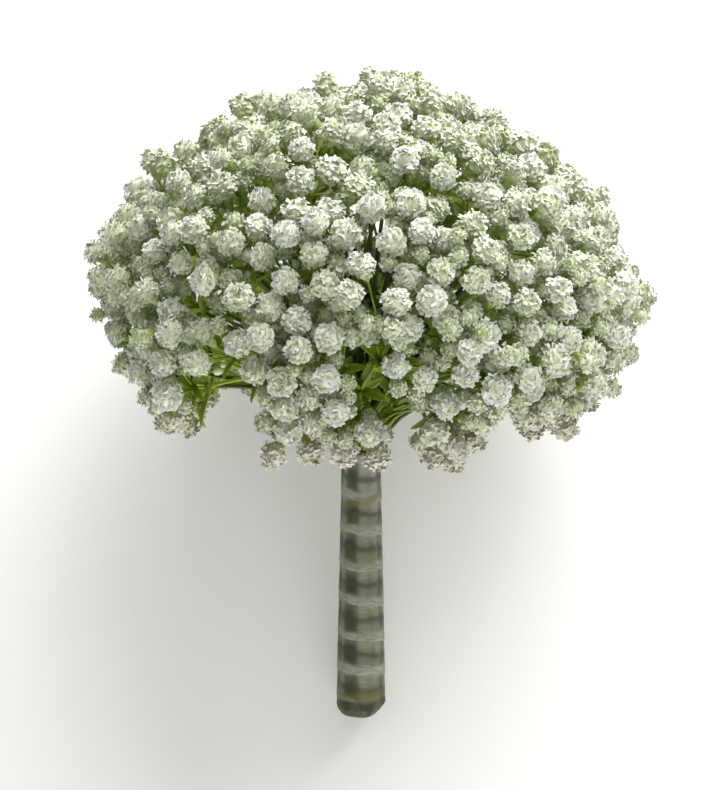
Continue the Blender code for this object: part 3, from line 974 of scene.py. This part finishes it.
def wind_ribbon(bm):
    """Winds lapped turns of ribbon up a straight handle, and trims them at both ends."""
    turns = math.ceil(WRAP_TOP / WRAP_PITCH) + 2
    lap = [
        bm.verts.new((WRAP_RADIUS_END - inset * RIBBON_STEP, 0, (share - 1) * WRAP_PITCH))
        for inset, share in RIBBON_LAP
    ]
    edges = [bm.edges.new(pair) for pair in itertools.pairwise(lap)]
    bmesh.ops.spin(
        bm,
        geom=[*lap, *edges],
        axis=(0, 0, 1),
        angle=-2 * math.pi * turns,
        steps=RIBBON_SIDES * turns,
        dvec=(0, 0, WRAP_PITCH / RIBBON_SIDES),
    )
    bmesh.ops.remove_doubles(bm, verts=bm.verts, dist=RIBBON_MERGE)
    for height, keep_above in ((RIBBON_CHAMFER, True), (WRAP_TOP, False)):
        bmesh.ops.bisect_plane(
            bm,
            geom=[*bm.verts, *bm.edges, *bm.faces],
            plane_co=(0, 0, height),
            plane_no=(0, 0, 1),
            clear_inner=keep_above,
            clear_outer=not keep_above,
        )


def map_ribbon(bm):
    """Maps each face by its turn round the handle and its rise across its lap of ribbon."""
    uv = bm.loops.layers.uv["ribbon"]
    for face in bm.faces:
        middle = face.calc_center_median()
        base = math.atan2(middle.y, middle.x)
        for loop in face.loops:
            turn = math.atan2(loop.vert.co.y, loop.vert.co.x)
            turn = base + (turn - base + math.pi) % math.tau - math.pi
            rise = loop.vert.co.z / WRAP_PITCH + turn / math.tau
            middle_rise = middle.z / WRAP_PITCH + base / math.tau
            loop[uv].uv = (turn / math.tau, clamp(rise - math.floor(middle_rise)))


def settle_ribbon(bm):
    """Tapers the handle, sinks the ribbon between the stems, and folds, flattens and slips its turns."""
    sunk, height_mark = bm.verts.layers.float["sunk"], bm.verts.layers.float["height"]
    for vert in bm.verts:
        turn = math.atan2(vert.co.y, vert.co.x)
        depth = gap_depth(turn, vert.co.z)
        # The sinking also marks where the ribbon's finish paints shade
        vert[sunk] = depth
        vert[height_mark] = vert.co.z / WRAP_TOP
        fold = handle_noise(turn, vert.co.z, *FOLD_SCALE)
        slip = handle_noise(turn, vert.co.z, *SLIP_SCALE)
        share = wrap_radius(vert.co.z) / WRAP_RADIUS_END
        flat = RIBBON_FLAT * (1 - math.cos(RIBBON_FLATS * turn)) / 2
        length = vert.co.xy.length * share - depth * GAP_DEPTH - flat + RIBBON_FOLD * fold
        vert.co.xy *= length / vert.co.xy.length
        loose = clamp((vert.co.z - RIBBON_FIRM) / RIBBON_FIRM)
        vert.co.z += (slip * RIBBON_SLIP + math.cos(turn) * RIBBON_SLANT) * loose


def extend_rim(bm, rim):
    """Extrudes an open rim, and gives the edges and the points of the new one."""
    grown = bmesh.ops.extrude_edge_only(bm, edges=rim)["geom"]
    rim = [e for e in grown if isinstance(e, bmesh.types.BMEdge) and e.is_boundary]
    return rim, {v for e in rim for v in e.verts}


def close_ribbon(bm):
    """Draws the ribbon in under the cut ends, and gives it a wall on its inside."""
    sunk = bm.verts.layers.float["sunk"]
    rims = [e for e in bm.edges if e.is_boundary]
    low = [e for e in rims if e.verts[0].co.z < 0.5 * WRAP_TOP]
    high = [e for e in rims if e.verts[0].co.z > 0.5 * WRAP_TOP]
    for inset, height in END_RINGS:
        low, verts = extend_rim(bm, low)
        for vert in verts:
            turn = math.atan2(vert.co.y, vert.co.x)
            outer = wrap_radius(0) - gap_depth(turn) * GAP_DEPTH * END_GAP_SHARE
            vert.co.xy *= (outer - inset) / vert.co.xy.length
            vert.co.z = height
            vert[sunk] = gap_depth(turn)
    bmesh.ops.edgeloop_fill(bm, edges=low)
    for height in WALL_HEIGHTS:
        high, verts = extend_rim(bm, high)
        for vert in verts:
            vert.co.xy *= (wrap_radius(height) - WRAP_LAP - GAP_DEPTH - RIBBON_WALL) / vert.co.xy.length
            vert.co.z = height
    bmesh.ops.edgeloop_fill(bm, edges=high)


def cut_corner(bm):
    """Slopes one side of the handle's end, as its stems are cut aslant."""
    start, lift, end = CUT_CORNER
    for vert in bm.verts:
        if vert.co.x > start and vert.co.z < end:
            across = (vert.co.x - start) / (WRAP_RADIUS_END - start)
            vert.co.z += lift * across**1.5 * (1 - vert.co.z / end) ** 2


def make_ribbon(lay, material):
    """The sheer ribbon: lapped turns wound up the handle, sunk between the stems and closed below."""
    bm = bmesh.new()
    bm.loops.layers.uv.new("ribbon")
    for layer in ("sunk", "height"):
        bm.verts.layers.float.new(layer)
    wind_ribbon(bm)
    map_ribbon(bm)
    settle_ribbon(bm)
    close_ribbon(bm)
    cut_corner(bm)
    bmesh.ops.recalc_face_normals(bm, faces=bm.faces)
    return finish_piece("handle_ribbon", bm, lay, material)


# Materials. A single number in a ramp is a grey

# From a petal's base to its tip
PETAL_TONES = (
    (0.0, (0.28, 0.38, 0.06)),
    (0.3, (0.60, 0.66, 0.38)),
    (0.6, (0.87, 0.88, 0.80)),
    (1.0, (0.93, 0.925, 0.90)),
)
# Older blooms, and the painted shade of the small side blooms deep in the head
AGED_AND_SHADED_TONES = ((0.0, (0.24, 0.36, 0.05)), (0.5, (0.52, 0.59, 0.30)), (1.0, (0.80, 0.83, 0.68)))

# Partly blushed colour, partly painted shade
BLUSH_AND_SHADE = (0.64, 0.565, 0.51)
PETAL_GREYING = (0.86, 0.87, 0.86)
PETAL_VEIN = (0.66, 0.70, 0.60)
STEM_STREAK = (0.09, 0.14, 0.01)
# Painted shade, for the green deep inside the head
PAINTED_SHADE_GREEN = (0.016, 0.022, 0.002)
RIBBON_LAPPED = (0.35, 0.358, 0.285)
RIBBON_CREASE_SHADE = (0.13, 0.135, 0.095)
RIBBON_TOP = (0.42, 0.415, 0.37)
RIBBON_GAP_SHADE = (0.016, 0.019, 0.006)
RIBBON_STREAK = (0.06, 0.066, 0.03)
RIBBON_OLIVE = (0.12, 0.145, 0.035)
BAND_THROUGH_RIBBON = (0.13, 0.125, 0.03)

# Where the bands show through the ribbon, as shares of its height: (first trace, full, full, last trace)
BAND_LINES = ((0.068, 0.078, 0.095, 0.11), (0.80, 0.815, 0.835, 0.85))

PETAL_VEINS = 44.0
RIBBON_WARP = 620.0
RIBBON_WEFT = 250.0
FLOOR_GLOW = 0.14


class Finish:
    """A material under construction, with short calls for its nodes."""

    def __init__(self, name):
        self.material = bpy.data.materials.new(name)
        self.material.use_nodes = True
        self.tree = self.material.node_tree
        self.shader = self.tree.nodes["Principled BSDF"]

    def node(self, kind, **settings):
        made = self.tree.nodes.new(kind)
        for key, value in settings.items():
            setattr(made, key, value)
        return made

    def put(self, socket, value):
        """Links a node's output to a socket, or gives the socket a value."""
        if isinstance(value, bpy.types.NodeSocket):
            self.tree.links.new(value, socket)
        else:
            socket.default_value = value

    def feed(self, node, **inputs):
        for key, value in inputs.items():
            self.put(node.inputs[key.replace("_", " ")], value)
        return node

    def attribute(self, name):
        return self.node("ShaderNodeAttribute", attribute_name=name).outputs["Fac"]

    def place(self):
        return self.node("ShaderNodeTexCoord").outputs["Object"]

    def own_map(self, name):
        """A piece's own UV map, and its two directions."""
        uv = self.node("ShaderNodeUVMap", uv_map=name).outputs["UV"]
        parts = self.feed(self.node("ShaderNodeSeparateXYZ"), Vector=uv).outputs
        return uv, parts["X"], parts["Y"]

    def stretched(self, vector, scale):
        return self.feed(self.node("ShaderNodeMapping"), Vector=vector, Scale=scale).outputs["Vector"]

    def grain(self, vector, scale, detail=3.0, rough=0.55):
        made = self.node("ShaderNodeTexNoise")
        return self.feed(made, Vector=vector, Scale=scale, Detail=detail, Roughness=rough).outputs["Fac"]

    def ramp(self, value, stops):
        made = self.node("ShaderNodeValToRGB")
        band = made.color_ramp
        while len(band.elements) < len(stops):
            band.elements.new(0.5)
        for element, (at, colour) in zip(band.elements, stops):
            element.position = at
            element.color = (*colour, 1) if isinstance(colour, tuple) else (colour, colour, colour, 1)
        self.put(made.inputs["Fac"], value)
        return made.outputs["Color"]

    def mix(self, share, first, second, mode="MIX"):
        made = self.node("ShaderNodeMix", data_type="RGBA", blend_type=mode)
        for socket, value in ((made.inputs[0], share), (made.inputs[6], first), (made.inputs[7], second)):
            self.put(socket, (*value, 1) if isinstance(value, tuple) else value)
        return made.outputs[2]

    def math(self, operation, first, second=0.0):
        made = self.node("ShaderNodeMath", operation=operation)
        self.put(made.inputs[0], first)
        self.put(made.inputs[1], second)
        return made.outputs[0]

    def times(self, first, second):
        return self.math("MULTIPLY", first, second)

    def bump(self, height, distance, strength=1.0):
        made = self.node("ShaderNodeBump")
        self.feed(made, Height=height, Distance=distance, Strength=strength)
        self.put(self.shader.inputs["Normal"], made.outputs["Normal"])

    def surface(self, **inputs):
        self.feed(self.shader, **inputs)


def petal_finish():
    """White petals, grey-green at the base and paler at the ruffled tip, with fine veins; low blooms are a
    pinkish grey, partly blushed and partly painted shade.
    """
    finish = Finish("petal")
    where = finish.place()
    _, across, rise = finish.own_map("petal")
    body, aged_and_shaded = finish.ramp(rise, PETAL_TONES), finish.ramp(rise, AGED_AND_SHADED_TONES)
    # Older blooms, and painted shade on the small side blooms
    body = finish.mix(finish.times(finish.attribute("tint"), 0.7), body, aged_and_shaded)
    # Pinkish grey on the low blooms, partly blushed and partly painted shade
    body = finish.mix(finish.times(finish.attribute("blush"), 0.9), body, BLUSH_AND_SHADE)
    patches = finish.times(finish.grain(where, 130.0), 0.5)
    body = finish.mix(patches, body, finish.mix(1.0, body, PETAL_GREYING, "MULTIPLY"))
    veins = finish.math("SINE", finish.times(across, PETAL_VEINS))
    body = finish.mix(finish.times(finish.math("MAXIMUM", veins, 0.0), 0.1), body, PETAL_VEIN)
    finish.surface(Base_Color=body, Roughness=0.62, Sheen_Weight=0.08, Specular_IOR_Level=0.3)
    crumple = finish.grain(where, 900.0, 4.0, 0.6)
    finish.bump(finish.math("ADD", crumple, finish.times(veins, 0.25)), 0.00025, 0.8)
    return finish.material


def stem_finish():
    """Fresh yellow-green stems with fine dark flecks, and paler flecked calyxes."""
    finish = Finish("stem")
    where = finish.place()
    patches = finish.grain(where, 55.0, 4.0)
    fine = finish.grain(where, 700.0, 3.0)
    body = finish.ramp(
        patches,
        ((0.3, (0.13, 0.21, 0.006)), (0.5, (0.28, 0.40, 0.015)), (0.72, (0.48, 0.58, 0.06))),
    )
    body = finish.mix(finish.times(fine, 0.35), body, STEM_STREAK)
    # Painted shade deep inside the head, and on the darker companion stems and their leaves
    body = finish.mix(finish.times(finish.attribute("inner"), 0.85), body, PAINTED_SHADE_GREEN)
    pale = finish.ramp(fine, ((0.35, (0.28, 0.40, 0.07)), (0.65, (0.52, 0.60, 0.22))))
    body = finish.mix(finish.attribute("calyx"), body, pale)
    finish.surface(Base_Color=body, Roughness=finish.ramp(fine, ((0.3, 0.38), (0.7, 0.58))))
    finish.bump(fine, 0.00015, 0.7)
    return finish.material


def ribbon_finish():
    """Sheer grey ribbon: paler where it laps, with painted shade where the stems' gaps show through one
    layer.
    """
    finish = Finish("ribbon")
    where = finish.place()
    woven, round_it, rise = finish.own_map("ribbon")
    sunk, height = finish.attribute("sunk"), finish.attribute("height")
    cloud = finish.grain(where, 90.0, 5.0, 0.6)
    edge = finish.math("ADD", rise, finish.times(finish.math("SUBTRACT", cloud, 0.5), 0.35))
    single = finish.ramp(
        edge, ((0.0, 0.35), (0.04, 0.0), (0.22, 0.08), (0.34, 0.75), (0.66, 1.0), (0.9, 0.65))
    )
    tone = finish.ramp(cloud, ((0.35, (0.116, 0.122, 0.076)), (0.65, (0.215, 0.222, 0.155))))
    body = finish.mix(single, RIBBON_LAPPED, tone)
    folds = finish.grain(finish.stretched(woven, (14.0, 16.0, 1.0)), 1.0, 3.0, 0.6)
    # Painted shade along the ribbon's creases
    body = finish.mix(finish.ramp(folds, ((0.42, 0.45), (0.56, 0.0))), body, RIBBON_CREASE_SHADE)
    body = finish.mix(finish.ramp(height, ((0.72, 0.0), (0.92, 0.5))), body, RIBBON_TOP)
    # Painted shade where the stems' gaps show through one layer of ribbon
    body = finish.mix(finish.times(finish.times(sunk, 0.95), single), body, RIBBON_GAP_SHADE)
    streak = finish.ramp(edge, ((0.5, 0.0), (0.6, 1.0), (0.66, 1.0), (0.76, 0.0)))
    body = finish.mix(finish.times(streak, 0.72), body, RIBBON_STREAK)
    olive = finish.times(finish.ramp(cloud, ((0.52, 0.0), (0.66, 1.0))), 0.3)
    body = finish.mix(olive, body, RIBBON_OLIVE)
    # The ribbon turns darker and mottled towards the handle's end
    end = finish.ramp(height, ((0.0, 0.97), (0.065, 0.92), (0.078, 0.0), (1.0, 0.0)))
    mottle = finish.grain(where, 230.0, 4.0, 0.65)
    dark_end = finish.ramp(mottle, ((0.4, (0.018, 0.021, 0.007)), (0.6, (0.085, 0.092, 0.045))))
    body = finish.mix(end, body, dark_end)
    stops = [stop for line in BAND_LINES for stop in zip(line, (0.0, 1.0, 1.0, 0.0))]
    body = finish.mix(finish.times(finish.ramp(height, stops), 0.6), body, BAND_THROUGH_RIBBON)
    finish.surface(Base_Color=body, Roughness=0.5, Sheen_Weight=0.06, Specular_IOR_Level=0.25)
    warp = finish.math("SINE", finish.times(round_it, RIBBON_WARP))
    weft = finish.math("SINE", finish.times(rise, RIBBON_WEFT))
    finish.bump(finish.math("ADD", warp, weft), 0.00006, 0.6)
    return finish.material


def band_finish():
    """Ochre rubber with a dull, faintly pitted face."""
    finish = Finish("band")
    pits = finish.grain(finish.place(), 2200.0, 3.0)
    body = finish.ramp(pits, ((0.3, (0.34, 0.26, 0.10)), (0.7, (0.50, 0.40, 0.19))))
    finish.surface(Base_Color=body, Roughness=0.72)
    finish.bump(pits, 0.00008, 0.5)
    return finish.material


def floor_finish():
    finish = Finish("floor")
    patches = finish.grain(finish.place(), 6.0)
    body = finish.ramp(patches, ((0.3, (0.90, 0.90, 0.89)), (0.7, (0.92, 0.92, 0.91))))
    finish.surface(
        Base_Color=body, Roughness=0.9, Emission_Color=(1, 1, 1, 1), Emission_Strength=FLOOR_GLOW
    )
    return finish.material


# The floor, the lamps and the camera

FLOOR_SIZE = 6

# (name, place from the middle of the view, size, power)
LAMPS = (
    ("key", (0.55, 1.5, 0.78), 2.2, 72),
    ("fill", (0.3, -1.6, 0.32), 1.2, 19),
)
SKY_COLOUR = (1, 1, 0.94, 1)
SKY_STRENGTH = 0.39


def make_stage():
    bm = bmesh.new()
    bmesh.ops.create_grid(bm, x_segments=1, y_segments=1, size=FLOOR_SIZE)
    mesh = make_mesh("floor", bm)
    mesh.materials.append(floor_finish())
    floor = add_object("floor", mesh)


def light_scene(target):
    for name, place, size, power in LAMPS:
        lamp = bpy.data.lights.new(name, "AREA")
        lamp.shape = "DISK"
        lamp.size = size
        lamp.energy = power
        place = target + Vector(place)
        add_object(name, lamp).matrix_world = facing(place, place - target)
    world = bpy.data.worlds.new("studio")
    world.use_nodes = True
    sky = world.node_tree.nodes["Background"]
    sky.inputs["Color"].default_value = SKY_COLOUR
    sky.inputs["Strength"].default_value = SKY_STRENGTH
    bpy.context.scene.world = world
    bpy.context.scene.view_settings.view_transform = "Standard"


def place_camera(target):
    rise = math.radians(VIEW_RISE)
    back = Vector((0, -math.cos(rise), math.sin(rise)))
    lens = bpy.data.cameras.new("camera")
    lens.lens = lens.sensor_width * VIEW_DISTANCE / VIEW_HEIGHT
    lens.clip_end = VIEW_LIMIT
    camera = add_object("camera", lens)
    camera.matrix_world = facing(target + back * VIEW_DISTANCE, back)
    bpy.context.scene.camera = camera


def main():
    lay = lay_matrix()
    target = lay @ VIEW_CENTRE
    place_camera(target)
    light_scene(target)
    make_stage()
    petal, stem = petal_finish(), stem_finish()
    shapes = [make_bloom_shape(f"bloom_{k}", PETAL_WHORLS, 2, k) for k in range(BLOOM_SHAPES)]
    side_shapes = [
        make_bloom_shape(f"side_bloom_{k}", SIDE_WHORLS, 1, SIDE_SEED + k) for k in range(SIDE_SHAPES)
    ]
    bud_shape = make_bud_shape()
    green_shapes = {
        "knuckle": make_knuckle_shape(),
        "leaf": make_leaf_shape("leaf", *LEAF_FACETS),
        "bract": make_leaf_shape("bract", *BRACT_FACETS),
    }
    places = spray_places()
    sites = bloom_sites(lay)
    directions = [direction for direction, _, _ in places]
    trees = [spray_tree(d, points) for d, points in zip(directions, share_out(sites, directions))]
    add_side_blooms(trees, sites, np.random.default_rng(SITE_SEED))
    for index, ((direction, ring, place), tree) in enumerate(zip(places, trees)):
        stems = make_stems(index, tree, direction, ring, place, green_shapes, lay, stem)
        blooms = make_blooms(index, tree, shapes, side_shapes, bud_shape, lay, petal)
        for piece in (stems, blooms):
            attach(piece, "root")
            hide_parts(f"spray_{index + 1:02d}")
    ribbon = make_ribbon(lay, ribbon_finish())
    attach(ribbon, "root")
    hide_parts("handle_wrap")
    band = band_finish()
    for name in ("band_lower", "band_upper"):
        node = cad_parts[name]
        node.data.materials.clear()
        node.data.materials.append(band)
    for shape in [*shapes, *side_shapes, bud_shape, *green_shapes.values()]:
        bpy.data.meshes.remove(shape)


main()
